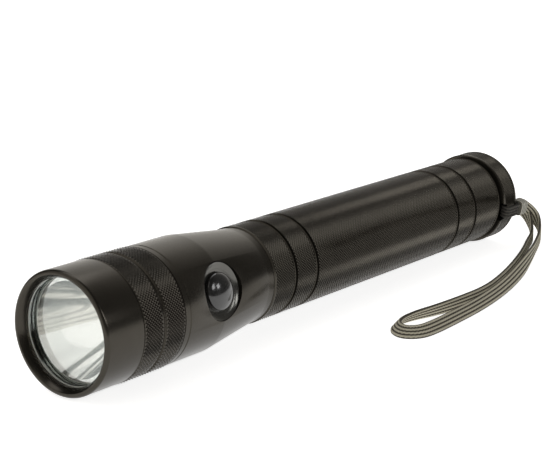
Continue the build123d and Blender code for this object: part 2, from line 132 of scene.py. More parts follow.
# ---- workshop
class Bench:
    """Selecting, turning, cutting and placing, by the same tools as by hand."""

    @staticmethod
    def clear() -> None:
        """Deselect everything."""
        if bpy.context.object and bpy.context.object.mode != "OBJECT":
            bpy.ops.object.mode_set(mode="OBJECT")
        bpy.ops.object.select_all(action="DESELECT")

    @staticmethod
    def take(piece: Piece) -> None:
        """Make one piece the only selected and active one."""
        Bench.clear()
        piece.select_set(True)
        bpy.context.view_layer.objects.active = piece

    @staticmethod
    def pick(piece: Piece, wanted: Callable[[Vector], bool]) -> None:
        """Select vertices by their place and open the mesh for editing.

        Args:
            piece: The mesh to edit.
            wanted: Says for a vertex's local place whether it is selected.
        """
        Bench.take(piece)
        bpy.ops.object.mode_set(mode="EDIT")
        bpy.ops.mesh.select_mode(type="VERT")
        bpy.ops.mesh.select_all(action="DESELECT")
        bpy.ops.object.mode_set(mode="OBJECT")
        flags = [wanted(vertex.co) for vertex in piece.data.vertices]
        piece.data.vertices.foreach_set("select", flags)
        bpy.ops.object.mode_set(mode="EDIT")

    @staticmethod
    def chain(name: str, points: Sequence[Pair]) -> Piece:
        """Draw a chain of edges in the local XZ plane by extruding one vertex.

        Args:
            name: Name of the new piece.
            points: (station, radius) pairs.

        Returns:
            The new piece, with the whole chain selected.
        """
        Bench.clear()
        places = [Vector((-station, 0, radius)) for station, radius in points]
        bpy.ops.mesh.primitive_plane_add(size=MM, location=(0, 0, 0))
        piece = bpy.context.object
        piece.name = piece.data.name = name
        bpy.ops.object.mode_set(mode="EDIT")
        bpy.ops.mesh.select_mode(type="VERT")
        bpy.ops.mesh.select_all(action="SELECT")
        bpy.ops.mesh.merge(type="CENTER")
        bpy.ops.transform.translate(value=places[0])
        for before, after in zip(places, places[1:]):
            step = {"value": after - before}
            bpy.ops.mesh.extrude_vertices_move(TRANSFORM_OT_translate=step)
        bpy.ops.mesh.select_all(action="SELECT")
        return piece

    @staticmethod
    def turn(name: str, outline: Sequence[Pair], steps: int = 160) -> Piece:
        """Turn a closed outline about local X.

        Args:
            name: Name of the new piece.
            outline: (station, radius) pairs, closed by the tool itself.
            steps: Facets round the piece.

        Returns:
            A closed solid of revolution in object mode.
        """
        piece = Bench.chain(name, [*outline, outline[0]])
        bpy.ops.mesh.remove_doubles(threshold=CLOSE)
        bpy.ops.mesh.select_all(action="SELECT")
        bpy.ops.mesh.spin(steps=steps, angle=TURN, center=(0, 0, 0), axis=(1, 0, 0))
        bpy.ops.mesh.select_all(action="SELECT")
        bpy.ops.mesh.remove_doubles(threshold=WELD)
        bpy.ops.mesh.normals_make_consistent(inside=False)
        bpy.ops.object.mode_set(mode="OBJECT")
        return piece

    @staticmethod
    def finish(piece: Piece, placement: Matrix, smooth: float = 32.0) -> Piece:
        """Put a piece in its place in the row frame and smooth its shading.

        Args:
            piece: A piece made at the origin.
            placement: Where its local frame goes.
            smooth: Edges sharper than this many degrees stay sharp.

        Returns:
            The same piece, its object at the origin.
        """
        Bench.take(piece)
        piece.matrix_world = placement
        bpy.ops.object.transform_apply(location=True, rotation=True, scale=True)
        bpy.ops.object.shade_smooth_by_angle(angle=math.radians(smooth))
        return piece

    @staticmethod
    def apply(piece: Piece, kind: str, **settings: Any) -> None:
        """Add a modifier and apply it.

        Args:
            piece: The piece it works on.
            kind: The modifier's type.
            **settings: Its settings.
        """
        Bench.take(piece)
        modifier = piece.modifiers.new(kind.title(), kind)
        for name, value in settings.items():
            setattr(modifier, name, value)
        bpy.ops.object.modifier_apply(modifier=modifier.name)

    @staticmethod
    def cut(piece: Piece, cutter: Piece) -> None:
        """Take a cutter's shape out of a piece and throw the cutter away."""
        Bench.apply(piece, "BOOLEAN", operation="DIFFERENCE", object=cutter, solver="EXACT")
        bpy.data.objects.remove(cutter, do_unlink=True)

    @staticmethod
    def join(pieces: Sequence[Piece]) -> Piece:
        """Join pieces into the first of them.

        Args:
            pieces: Finished meshes of one finish.

        Returns:
            The joined piece.
        """
        Bench.take(pieces[0])
        for piece in pieces[1:]:
            piece.select_set(True)
        bpy.ops.object.join()
        return pieces[0]


def arc(centre: Pair, radius: float, start: float, end: float, count: int) -> Outline:
    """Points of an arc of an outline.

    Args:
        centre: Its centre as (station, radius).
        radius: Its size.
        start: Start angle in degrees: 0 points back along the light, 90 outwards.
        end: End angle in degrees.
        count: Number of points less one.

    Returns:
        The points, both ends included.
    """
    angles = [math.radians(start + (end - start) * step / count) for step in range(count + 1)]
    station, height = centre
    return [(station + radius * math.cos(turn), height + radius * math.sin(turn)) for turn in angles]


def mm(*points: Pair) -> Outline:
    """Points of an outline, given in millimetres."""
    return [(station * MM, radius * MM) for station, radius in points]


def closed_line(corners: Sequence[Vector], gap: float = 0.4 * MM) -> list[Vector]:
    """Points of a closed line.

    Args:
        corners: Its corners in order.
        gap: About how far apart the points are.

    Returns:
        The points, with the first not repeated.
    """
    dense = []
    for before, after in zip(corners, [*corners[1:], corners[0]]):
        parts = max(1, round((after - before).length / gap))
        dense += [before.lerp(after, step / parts) for step in range(parts)]
    return dense


@dataclass(frozen=True)
class Knurl:
    """A zone of raised diamonds round a turned piece.

    Attributes:
        front: Station where it starts.
        back: Station where it ends.
        crest: Radius at the diamonds' tips.
        depth: Height of the diamonds.
        cell: Half the pitch of the diamonds along the light.
    """

    front: float
    back: float
    crest: float
    depth: float = 0.38 * MM
    cell: float = 0.5 * MM

    def rows(self) -> int:
        """Number of steps along the zone."""
        return max(2, round((self.back - self.front) / self.cell))

    def outline(self) -> Outline:
        """The zone's part of the piece's outline, at the bottom of the diamonds."""
        step = (self.back - self.front) / self.rows()
        return [(self.front + step * row, self.crest - self.depth) for row in range(self.rows() + 1)]

    def raise_tips(self, piece: Piece, steps: int) -> None:
        """Pull every second vertex of the zone outwards and crease the diamonds between.

        Args:
            piece: The turned piece, still about local X.
            steps: Its facets round.
        """
        step = (self.back - self.front) / self.rows()
        valley = self.crest - self.depth

        def is_tip(place: Vector) -> bool:
            """True for the vertices that become tips."""
            row = round((-place.x - self.front) / step)
            if row <= 0 or row >= self.rows() or abs(math.hypot(place.y, place.z) - valley) > SNAP:
                return False
            column = round(math.atan2(place.y, place.z) / (TURN / steps))
            return (row + column) % 2 == 0

        def in_zone(place: Vector) -> bool:
            """True for every vertex of the zone."""
            near = self.front - 1e-6 <= -place.x <= self.back + 1e-6
            return near and math.hypot(place.y, place.z) > valley - SNAP

        Bench.pick(piece, is_tip)
        scale = self.crest / valley
        bpy.ops.transform.resize(value=(1, scale, scale), center_override=(0, 0, 0))
        Bench.pick(piece, in_zone)
        bpy.ops.mesh.select_mode(type="FACE")
        bpy.ops.mesh.quads_convert_to_tris(quad_method="SHORTEST_DIAGONAL")
        bpy.ops.object.mode_set(mode="OBJECT")


# ---- shader sheets
class Value:
    """A number that varies over a surface; its operators add Math nodes."""

    def __init__(self, sheet: "Sheet", socket: Socket) -> None:
        """Wrap a socket of a sheet."""
        self.sheet = sheet
        self.socket = socket

    def _math(self, operation: str, *values: Any) -> "Value":
        """Add one Math node."""
        node = self.sheet.add("ShaderNodeMath", {"operation": operation}, dict(enumerate(values)))
        return Value(self.sheet, node.outputs[0])

    def __add__(self, other: Any) -> "Value":
        """Sum."""
        return self._math("ADD", self, other)

    def __sub__(self, other: Any) -> "Value":
        """Difference."""
        return self._math("SUBTRACT", self, other)

    def __mul__(self, other: Any) -> "Value":
        """Product."""
        return self._math("MULTIPLY", self, other)

    def wave(self) -> "Value":
        """Sine, from 0 to 1."""
        return self._math("SINE", self) * 0.5 + 0.5

    def clamp(self) -> "Value":
        """Kept between 0 and 1."""
        return self._math("MAXIMUM", self._math("MINIMUM", self, 1.0), 0.0)


class Sheet:
    """The node sheet of one finish."""

    def __init__(self, name: str) -> None:
        """Start an empty sheet with an output."""
        self.material = bpy.data.materials.new(name)
        self.material.use_nodes = True
        self.nodes = self.material.node_tree.nodes
        self.links = self.material.node_tree.links
        self.nodes.clear()
        self.output = self.nodes.new("ShaderNodeOutputMaterial")

    def add(
        self, kind: str, settings: dict[str, Any] | None = None, values: dict[Any, Any] | None = None
    ) -> Any:
        """Add a node.

        Args:
            kind: The node's type.
            settings: Its own settings, such as an operation, set first.
            values: Values or links of its sockets, by name or index.

        Returns:
            The node.
        """
        node = self.nodes.new(kind)
        for name, value in (settings or {}).items():
            setattr(node, name, value)
        for key, value in (values or {}).items():
            socket = node.inputs[key]
            if isinstance(value, Value):
                self.links.new(value.socket, socket)
            elif isinstance(value, Socket):
                self.links.new(value, socket)
            else:
                socket.default_value = value
        return node

    def place(self, scale: Triple = (1, 1, 1)) -> Socket:
        """Object coordinates in metres, scaled."""
        coordinates = self.add("ShaderNodeTexCoord")
        values = {"Vector": coordinates.outputs["Object"], "Scale": scale}
        mapping = self.add("ShaderNodeMapping", None, values)
        return mapping.outputs[0]

    def noise(self, scale: float, detail: float = 3.0, stretch: Triple = (1, 1, 1)) -> Value:
        """Noise from 0 to 1.

        Args:
            scale: Features to the metre.
            detail: Octaves.
            stretch: Scale along each axis.

        Returns:
            The varying number.
        """
        values = {"Vector": self.place(stretch), "Scale": scale, "Detail": detail, "Roughness": 0.6}
        return Value(self, self.add("ShaderNodeTexNoise", None, values).outputs[0])

    def between(self, low: Sequence[float], high: Sequence[float], mix: Value) -> Socket:
        """Mix two colours."""
        colours = {"A": (*low, 1.0), "B": (*high, 1.0)}
        node = self.add("ShaderNodeMix", {"data_type": "RGBA"}, {0: mix})
        sockets = {socket.name: socket for socket in node.inputs if socket.type == "RGBA"}
        for name, colour in colours.items():
            sockets[name].default_value = colour
        return next(socket for socket in node.outputs if socket.type == "RGBA")

    def bump(self, height: Value, distance: float, strength: float) -> Socket:
        """A Bump node's normal."""
        values = {"Height": height, "Distance": distance, "Strength": strength}
        return self.add("ShaderNodeBump", None, values).outputs[0]

    def shade(self, **values: Any) -> bpy.types.Material:
        """Close the sheet with one Principled shader.

        Args:
            **values: Its sockets, with spaces as underscores.

        Returns:
            The material.
        """
        sockets = {name.replace("_", " "): value for name, value in values.items()}
        shader = self.add("ShaderNodeBsdfPrincipled", None, sockets)
        self.links.new(shader.outputs[0], self.output.inputs[0])
        return self.material


# ---- finishes
@dataclass(frozen=True)
class Anodised:
    """Satin black anodised aluminium with faint mottling and handling marks.

    Attributes:
        name: The material's name.
        tone: Mean colour of the metal.
        roughness: Mean roughness.
    """

    name: str
    tone: Triple = (0.048, 0.043, 0.035)
    roughness: float = 0.24

    def make(self) -> bpy.types.Material:
        """Build the material."""
        sheet = Sheet(self.name)
        mottle = sheet.noise(90.0)
        marks = sheet.noise(900.0, 2.0, (0.15, 1, 1))
        darker = tuple(part * 0.82 for part in self.tone)
        lighter = tuple(part * 1.18 for part in self.tone)
        return sheet.shade(
            Base_Color=sheet.between(darker, lighter, mottle),
            Roughness=mottle * 0.05 + marks * 0.05 + (self.roughness - 0.05),
            Metallic=0.86,
            Normal=sheet.bump(marks, 0.00002, 0.35),
        )


@dataclass(frozen=True)
class Plated:
    """The smooth vacuum-plated mirror inside the reflector."""

    name: str = "plated_mirror"

    def make(self) -> bpy.types.Material:
        """Build the material."""
        sheet = Sheet(self.name)
        haze = sheet.noise(60.0)
        return sheet.shade(
            Base_Color=sheet.between((0.86, 0.855, 0.84), (0.95, 0.95, 0.94), haze),
            Roughness=haze * 0.04 + 0.05,
            Metallic=1.0,
        )


@dataclass(frozen=True)
class ClearLens:
    """Thin clear glass that mirrors a little at a slant."""

    name: str = "clear_lens"

    def make(self) -> bpy.types.Material:
        """Build the material."""
        sheet = Sheet(self.name)
        dust = sheet.noise(400.0, 2.0)
        clear = sheet.add("ShaderNodeBsdfTransparent", None, {"Color": (0.985, 0.985, 0.98, 1)})
        gloss = sheet.add(
            "ShaderNodeBsdfPrincipled",
            None,
            {"Base Color": (0.75, 0.8, 0.78, 1), "Roughness": dust * 0.03 + 0.03, "Metallic": 1.0},
        )
        slant = Value(sheet, sheet.add("ShaderNodeFresnel", None, {"IOR": 1.42}).outputs[0])
        mixed = sheet.add("ShaderNodeMixShader", None, {0: (slant * 0.35 + dust * 0.01).clamp()})
        sheet.links.new(clear.outputs[0], mixed.inputs[1])
        sheet.links.new(gloss.outputs[0], mixed.inputs[2])
        sheet.links.new(mixed.outputs[0], sheet.output.inputs[0])
        return sheet.material


@dataclass(frozen=True)
class Braid:
    """Ribbed khaki braid, with painted shade between its ribs; it reads the strap's own UV map, metres along and
    ribs across.
    """

    name: str = "khaki_braid"
    pale: Triple = (0.45, 0.42, 0.325)
    # dark: painted crease shade that fills the gaps between the ribs
    dark: Triple = (0.045, 0.038, 0.026)
    pitch: float = STITCH

    def make(self) -> bpy.types.Material:
        """Build the material."""
        sheet = Sheet(self.name)
        uv = sheet.add("ShaderNodeUVMap", {"uv_map": "weave"})
        parts = sheet.add("ShaderNodeSeparateXYZ", None, {0: uv.outputs[0]})
        along = Value(sheet, parts.outputs[0])
        across = Value(sheet, parts.outputs[1])
        rib = (across * (TURN) - math.pi / 2).wave()
        stitch = (along * (TURN / self.pitch) + across * (TURN)).wave()
        fibre = sheet.noise(2600.0, 2.0)
        # Painted crease shade: the dark colour fills the gaps between the ribs; the stitch and fibre terms add
        # the weave's own pattern.
        weave_and_crease_shade = (rib * 1.55 + stitch * 0.4 + fibre * 0.2 - 0.55).clamp()
        return sheet.shade(
            Base_Color=sheet.between(self.dark, self.pale, weave_and_crease_shade),
            Roughness=fibre * 0.15 + 0.75,
            Normal=sheet.bump(rib * 0.5 + stitch * 0.5, 0.00018, 0.8),
        )


@dataclass(frozen=True)
class Plain:
    """A moulded, turned or wrapped surface with a fine grain.

    Attributes:
        name: The material's name.
        low: Colour in the grain's hollows.
        high: Colour on its tops.
        roughness: Mean roughness.
        metallic: 1 for bare metal.
        grain: Features to the metre.
        coat: Weight of a clear coat.
        relief: Height of the grain.
    """

    name: str
    low: Triple
    high: Triple
    roughness: float = 0.5
    metallic: float = 0.0
    grain: float = 700.0
    coat: float = 0.0
    relief: float = 0.00001

    def make(self) -> bpy.types.Material:
        """Build the material."""
        sheet = Sheet(self.name)
        grain = sheet.noise(self.grain)
        return sheet.shade(
            Base_Color=sheet.between(self.low, self.high, grain),
            Roughness=grain * 0.12 + (self.roughness - 0.06),
            Metallic=self.metallic,
            Coat_Weight=self.coat,
            Normal=sheet.bump(grain, self.relief, 0.6),
        )


class Finish(Enum):
    """Every finish of the light, by the piece of shop talk that names it; two braids are copies of the khaki
    braid with painted shade and painted light.
    """

    BLACK = Anodised("black_anodised")
    BLACK_KNURL = Anodised("black_knurl", (0.052, 0.047, 0.038), 0.25)
    RING = Anodised("switch_ring", (0.11, 0.108, 0.1), 0.2)
    # a copy of the khaki braid darkened as painted shade, for the band inside the flange's hole
    PAINTED_SHADE_BRAID = Braid("painted_shade_braid", (0.05, 0.045, 0.036), (0.01, 0.009, 0.007))
    MIRROR = Plated()
    LENS = ClearLens()
    BRAID = Braid()
    # a copy of the khaki braid made pale grey as a painted highlight: the strap's lit face, painted on the keeper
    PAINTED_LIGHT_BRAID = Braid("painted_light_braid", (0.5, 0.49, 0.44), (0.14, 0.13, 0.1))
    SWITCH = Plain(
        "glossy_switch", (0.010, 0.010, 0.010), (0.014, 0.014, 0.014), 0.2, coat=0.6, relief=0.000001
    )
    RUBBER = Plain("soft_rubber", (0.012, 0.012, 0.012), (0.03, 0.03, 0.03), 0.7)
    GASKET = Plain("pale_gasket", (0.42, 0.43, 0.4), (0.55, 0.56, 0.53), 0.4)
    BARE = Plain("turned_aluminium", (0.6, 0.6, 0.6), (0.78, 0.78, 0.78), 0.32, 1.0)
    BRASS = Plain("bright_brass", (0.62, 0.46, 0.2), (0.8, 0.62, 0.32), 0.28, 1.0)
    WIRE = Plain("plated_wire", (0.6, 0.58, 0.52), (0.75, 0.73, 0.68), 0.25, 1.0)
    NYLON = Plain("moulded_nylon", (0.02, 0.02, 0.02), (0.04, 0.04, 0.04), 0.55)
    ACETAL = Plain("white_acetal", (0.7, 0.7, 0.67), (0.82, 0.82, 0.8), 0.45)
    WHITE_BOARD = Plain("white_board", (0.74, 0.74, 0.71), (0.86, 0.86, 0.84), 0.5)
    GREEN_BOARD = Plain("green_board", (0.02, 0.14, 0.05), (0.05, 0.24, 0.09), 0.4)
    PHOSPHOR = Plain("led_phosphor", (0.75, 0.62, 0.16), (0.9, 0.8, 0.3), 0.3, coat=0.8)
    CELL = Plain("cell_sleeve", (0.03, 0.11, 0.3), (0.05, 0.16, 0.4), 0.3, coat=0.3)

    def material(self) -> bpy.types.Material:
        """The finish's material, made once."""
        name = f"finish_{self.value.name}"
        found = bpy.data.materials.get(name)
        if found is None:
            found = self.value.make()
            found.name = name
        return found


def mount(piece: Piece, finish: Finish, body: str, node: str) -> None:
    """Finish a new piece and let it ride on a body in place of a CAD node.

    Args:
        piece: The piece.
        finish: Its finish.
        body: The body that carries it.
        node: The CAD node that it replaces.
    """
    piece.data.materials.clear()
    piece.data.materials.append(finish.material())
    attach(piece, body)
    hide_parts(node)
    LOG.info("%s rides on %s, %d faces", piece.name, body, len(piece.data.polygons))


# ---- studio
class Room(Sheet):
    """The room round the table: dark beside the camera, bright overhead and before the lens."""

    overhead = (-0.77, -0.15, 0.62)
    behind = (-0.792, -0.611, 0.0)
    panel_rows = 24.0
    panel_slant = 5.0
    fill = 0.06
    warm = (1.0, 0.965, 0.9, 1)

    def __init__(self) -> None:
        """Start the world's sheet."""
        self.world = bpy.data.worlds.new("room")
        self.world.use_nodes = True
        self.nodes = self.world.node_tree.nodes
        self.links = self.world.node_tree.links

    def facing(self, aim: Sequence[float]) -> Value:
        """How far a direction agrees with another, from -1 to 1."""
        look = self.add("ShaderNodeTexCoord").outputs["Generated"]
        node = self.add("ShaderNodeVectorMath", {"operation": "DOT_PRODUCT"}, {0: look, 1: aim})
        return Value(self, node.outputs["Value"])

    def rise(self, value: Value, low: float, high: float) -> Value:
        """A smooth step from 0 at one value to 1 at another."""
        limits = {0: value, 1: low, 2: high, 3: 0.0, 4: 1.0}
        node = self.add("ShaderNodeMapRange", {"interpolation_type": "SMOOTHSTEP"}, limits)
        return Value(self, node.outputs[0])

    def build(self) -> bpy.types.World:
        """Build the world."""
        top = self.facing(self.overhead)
        back = self.facing(self.behind)
        ahead = self.facing((1, 0, 0))
        side = self.facing((0, 1, 0))
        height = self.facing((0, 0, 1))
        dome = self.rise(top, 0.5, 0.85) * 0.12 + self.rise(top, 0.87, 1.0) * 0.25
        gaps = (height * self.panel_rows + side * self.panel_slant).wave()
        panels = self.rise(gaps, 0.62, 0.9) * -0.55 + 1.0
        front = self.rise(ahead, 0.25, 0.55) * (self.rise(side, 0.15, 0.45) * -0.85 + 1.0)
        light = dome + self.rise(back, 0.5, 0.97) * 0.8 + front * panels * 0.9 + self.fill
        background = self.nodes["Background"]
        background.inputs["Color"].default_value = self.warm
        self.links.new(light.socket, background.inputs["Strength"])
        return self.world


@dataclass
class Studio:
    """Camera, lights and floor.

    Attributes:
        eye: The camera's place.
        right: The picture's right.
        forward: The way the camera looks.
        lens: Focal length in millimetres on a 36 mm film.
    """

    eye: Vector = field(default_factory=lambda: Vector((0.40541, 0.30147, 0.15396)))
    right: Vector = field(default_factory=lambda: Vector((-0.60928, 0.79293, -0.00639)))
    forward: Vector = field(default_factory=lambda: Vector((-0.76813, -0.59219, -0.24350)))
    lens: float = 104.16

    def camera(self) -> None:
        """Set up the camera."""
        data = bpy.data.cameras.new("camera")
        data.lens = self.lens
        data.sensor_width = 36.0
        data.clip_start = 0.01
        camera = bpy.data.objects.new("camera", data)
        bpy.context.scene.collection.objects.link(camera)
        forward = self.forward.normalized()
        right = (self.right - forward * self.right.dot(forward)).normalized()
        upward = right.cross(forward)
        turned = Matrix((right, upward, -forward)).transposed().to_4x4()
        turned.translation = self.eye
        camera.matrix_world = turned
        bpy.context.scene.camera = camera

    def floor(self) -> None:
        """Lay the plain pale floor."""
        Bench.clear()
        bpy.ops.mesh.primitive_plane_add(size=9.0, location=(0, 0, 0))
        ground = bpy.context.object
        ground.name = ground.data.name = "floor"
        sheet = Sheet("pale_floor")
        tone = sheet.noise(3.0)
        ground.data.materials.append(
            sheet.shade(
                Base_Color=sheet.between((0.9, 0.9, 0.9), (0.93, 0.93, 0.93), tone),
                Roughness=0.85,
                Emission_Color=(1, 1, 1, 1),
                Emission_Strength=0.8,
            )
        )

    def light(self, name: str, eye: Triple, aim: Triple, size: Pair, power: float) -> None:
        """Hang one soft light.

        Args:
            name: Its name.
            eye: Its place.
            aim: The point it faces.
            size: Its width and height.
            power: Its power in watts.
        """
        data = bpy.data.lights.new(name, "AREA")
        data.shape = "RECTANGLE"
        data.size, data.size_y = size
        data.energy = power
        lamp = bpy.data.objects.new(name, data)
        bpy.context.scene.collection.objects.link(lamp)
        lamp.rotation_mode = "QUATERNION"
        lamp.rotation_quaternion = (Vector(aim) - Vector(eye)).to_track_quat("-Z", "Y")
        lamp.location = eye

    def lights(self) -> None:
        """Hang the soft lights: overhead, small before the button, and one beside the switch."""
        switch = (0.06, 0.02, 0.02)
        self.light("top_light", (-0.1, -0.35, 1.0), (0, 0, 0), (1.3, 0.5), 3.0)
        self.light("button_light", (-0.50, 1.05, 0.43), switch, (0.22, 0.22), 0.9)
        self.light("side_light", (0.02, 0.76, 0.43), switch, (0.24, 0.24), 0.9)
        bpy.context.scene.world = Room().build()
        bpy.context.scene.view_settings.view_transform = "Standard"

    def build(self) -> None:
        """Set up the studio."""
        self.camera()
        self.floor()
        self.lights()


# ---- lanyard
@dataclass
class Ribbon:
    """A flat ribbed strap along a line of points.

    Attributes:
        width: Across the strap.
        thickness: Through the strap.
        ribs: Ribs on each face.
        pitch: Length of a stitch of the braid.
    """

    width: float
    thickness: float
    ribs: int = 4
    pitch: float = STITCH

    def section(self, travelled: float) -> list[Triple]:
        """One cross-section.

        Args:
            travelled: How far along the strap it is.

        Returns:
            (across, through, rib) for each of its points, rib counting ribs from one edge.
        """
        per_rib = 4
        count = self.ribs * per_rib
        points = []
        for face in (1, -1):
            for step in range(count + 1):
                share = step / count if face == 1 else 1 - step / count
                rib = share * self.ribs
                crown = abs(math.sin(math.pi * rib)) ** 0.6
                stitch = math.cos(TURN * (travelled / self.pitch + 0.5 * math.floor(rib)))
                edge = 1 - abs(2 * share - 1) ** 8 * 0.55
                height = self.thickness / 2 * (0.54 + 0.38 * crown + 0.08 * stitch * crown) * edge
                points.append(((share - 0.5) * self.width, face * height, rib))
        return points

    def mesh(self, name: str, line: Sequence[Vector], across: Sequence[Vector], closed: bool) -> Piece:
        """Lay the strap along a line.

        Args:
            name: Name of the piece.
            line: Its middle line.
            across: The direction of its width at each point.
            closed: True if its end meets its start.

        Returns:
            The strap, with its weave map.
        """
        travelled = [0.0]
        for before, after in zip(line, line[1:]):
            travelled.append(travelled[-1] + (after - before).length)
        vertices, maps = [], []
        last = len(line) - 1
        for index, point in enumerate(line):
            behind = line[index - 1] if index else (line[-1] if closed else point)
            ahead = line[index + 1] if index < last else (line[0] if closed else point)
            tangent = (ahead - behind).normalized()
            wide = (across[index] - tangent * across[index].dot(tangent)).normalized()
            through = tangent.cross(wide)
            for offset, height, rib in self.section(travelled[index]):
                vertices.append(point + wide * offset + through * height)
                maps.append((travelled[index], rib))
        size = len(maps) // len(line)
        rings = range(len(line)) if closed else range(last)
        faces = []
        for ring in rings:
            here, there = ring * size, (ring + 1) % len(line) * size
            for step in range(size):
                after = (step + 1) % size
                faces.append((here + step, here + after, there + after, there + step))
        if not closed:
            faces.append(tuple(reversed(range(size))))
            faces.append(tuple(last * size + step for step in range(size)))
        mesh = bpy.data.meshes.new(name)
        mesh.from_pydata(vertices, [], faces)
        weave = mesh.uv_layers.new(name="weave")
        corners = [maps[loop.vertex_index] for loop in mesh.loops]
        weave.data.foreach_set("uv", [number for pair in corners for number in pair])
        piece = bpy.data.objects.new(name, mesh)
        bpy.context.scene.collection.objects.link(piece)
        Bench.pick(piece, lambda place: True)
        bpy.ops.mesh.normals_make_consistent(inside=False)
        bpy.ops.object.mode_set(mode="OBJECT")
        bpy.ops.object.shade_smooth_by_angle(angle=math.radians(60))
        return piece


@dataclass
class Lanyard:
    """The braided strap, the band that holds it to the flange, and its sewn keeper.

    Attributes:
        width: Across the strap.
        thickness: Through the strap.
        half_length: Half the light's length, from which the route's stations count.
        angle: Place of its hole round the tail.
        anchor: Front and back stations, then inner and outer radii of the band inside.
        keeper: Start and end stations, then the distance from the beam axis, of the keeper.
        near_exit: Where the strap leaves the keeper.
        far_exit: Where it comes back.
        lying: Height of the loop that lies on the floor.
        leaving: (station, side, height) of the points from the keeper down to the floor.
        loop: (station, side) of the points on the floor.
        returning: (station, side, height) of the points back up to the keeper.
    """

    width: float = 4.6 * MM
    thickness: float = 1.3 * MM
    half_length: float = 111.8 * MM
    angle: float = 102.0
    anchor: tuple[float, float, float, float] = (216.754, 223.75, 15.05, 16.65)
    keeper: Triple = (224.88, 229.48, 15.85)
    near_exit: Vector = field(default_factory=lambda: Vector((-117.666, 16.677, 12.882)) * MM)
    far_exit: Vector = field(default_factory=lambda: Vector((-117.672, 14.330, 13.381)) * MM)
    lying: float = 2.33
    leaving: tuple[Triple, ...] = (
        (231.8, 17.4, 11.2),
        (233.2, 19.4, 8.0),
        (232.0, 22.0, 5.0),
        (227.6, 24.4, 3.0),
    )
    loop: tuple[Pair, ...] = (
        *((219.0, 27.9), (203.0, 34.1), (183.5, 40.5), (162.0, 46.2), (141.0, 49.3), (123.0, 50.1)),
        *((112.0, 50.4), (105.2, 49.6), (101.9, 45.6), (104.3, 40.9), (109.4, 38.4), (117.0, 38.9)),
        *((126.0, 41.8), (138.0, 44.0), (153.0, 44.6), (170.0, 41.2), (187.0, 36.4), (204.0, 30.6)),
        (217.0, 25.2),
    )
    returning: tuple[Triple, ...] = (
        (225.2, 22.5, 2.8),
        (229.6, 19.9, 5.0),
        (231.4, 17.3, 8.2),
        (231.4, 15.1, 11.2),
    )

    def line(self) -> list[Vector]:
        """Points of the strap's middle line, read from its smooth curve."""
        flat = [(*point, self.lying) for point in self.loop]
        route = [*self.leaving, *flat, *self.returning]
        inner = [Vector((self.half_length - s * MM, y * MM, z * MM)) for s, y, z in route]
        points = [self.near_exit, *inner, self.far_exit]
        curve = bpy.data.curves.new("strap_route", "CURVE")
        curve.dimensions = "3D"
        curve.resolution_u = 40
        spline = curve.splines.new("NURBS")
        spline.points.add(len(points) - 1)
        for control, point in zip(spline.points, points):
            control.co = (*point, 1.0)
        spline.order_u = 3
        spline.use_endpoint_u = True
        holder = bpy.data.objects.new("strap_route", curve)
        bpy.context.scene.collection.objects.link(holder)
        mesh = bpy.data.meshes.new_from_object(holder)
        line = [vertex.co.copy() for vertex in mesh.vertices]
        bpy.data.objects.remove(holder, do_unlink=True)
        bpy.data.curves.remove(curve)
        bpy.data.meshes.remove(mesh)
        return line

    @staticmethod
    def lean(share: float) -> float:
        """How far the strap leans into its loop, in degrees, at a share of its length."""
        most, start, end, blend = 42.0, 0.10, 0.66, 0.14
        rise = max(0.0, min(1.0, (share - start) / blend))
        fall = max(0.0, min(1.0, (end - share) / blend))
        return most * rise * rise * (3 - 2 * rise) * fall * fall * (3 - 2 * fall)

    def strap(self) -> tuple[Piece, list[Vector], float]:
        """Lay the strap.

        Returns:
            The strap, its middle line and its length.
        """
        line = self.line()
        steps = [(after - before).length for before, after in zip(line, line[1:])]
        length = sum(steps)
        laid, across, travelled = [], [], 0.0
        for index, point in enumerate(line):
            ahead = line[min(index + 1, len(line) - 1)] - line[max(index - 1, 0)]
            tangent = ahead.normalized()
            turn = Matrix.Rotation(math.radians(self.lean(travelled / length)), 3, tangent)
            upright = Vector((0, 0, 1)) - tangent * tangent.z
            leaning = turn @ upright.normalized()
            lying = tangent.z < 0.2
            sunk = (1 - leaning.z / max(1e-6, upright.length)) * self.width / 2
            drop = sunk if lying else 0.0
            laid.append(point - Vector((0, 0, max(0.0, drop) * 0.9)))
            across.append(leaning)
            travelled += steps[min(index, len(steps) - 1)]
        piece = Ribbon(self.width, self.thickness).mesh("strap", laid, across, False)
        return piece, line, length

    def band(self) -> Piece:
        """Make the band that goes through the flange's hole."""
        front, back, inner, outer = (number * MM for number in self.anchor)
        half = 0.55 * MM
        corner = 0.9 * MM
        corners = [(front, inner, 180), (back, inner, 270), (back, outer, 0), (front, outer, 90)]
        outline: Outline = []
        for station, radius, start in corners:
            out = 1 if radius == outer else -1
            along = 1 if station == back else -1
            centre = (station + along * (half - corner), radius + out * (half - corner))
            outline += arc(centre, corner, start, start + 90, 5)
        place_at = AXIS.spoke_matrix(0.0, self.angle)
        line = [place_at @ Vector((radius, station, 0)) for station, radius in outline]
        dense = closed_line(line)
        sideways = AXIS.outward(self.angle).cross(AXIS.forward())
        return Ribbon(self.width, 1.1 * MM).mesh("lanyard_band", dense, [sideways] * len(dense), True)

